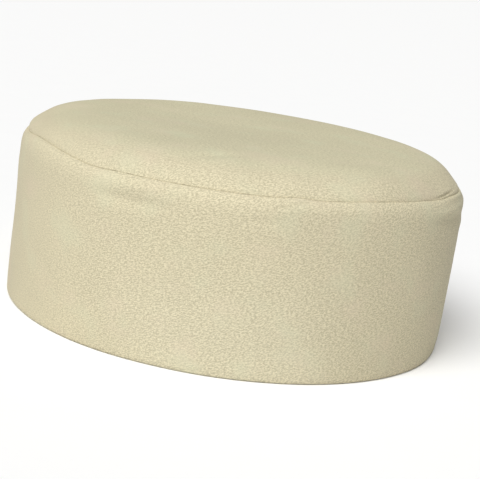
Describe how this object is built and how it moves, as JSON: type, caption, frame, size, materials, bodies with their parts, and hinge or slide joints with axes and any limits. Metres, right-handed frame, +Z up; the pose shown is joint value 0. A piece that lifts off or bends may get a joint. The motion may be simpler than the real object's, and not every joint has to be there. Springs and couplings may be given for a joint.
{
  "type": "kufi cap",
  "caption": "Plain cream brimless cap of napped cloth: a round side band with a turned hem, sewn to a flat round crown with soft rolled edges.",
  "frame": {"origin": "centre of the rim's footprint, on the surface that the cap rests on", "axes": "+Z up through the crown; the side the picture shows faces -Y, with +X to its right"},
  "size_m": [0.187, 0.1861, 0.0792],
  "materials": {
    "side_band": "matt napped cream wool cloth",
    "top_panel": "matt napped cream wool cloth"
  },
  "bodies": {
    "root": {"side_band": "side_band", "top_panel": "top_panel"}
  },
  "joints": []
}
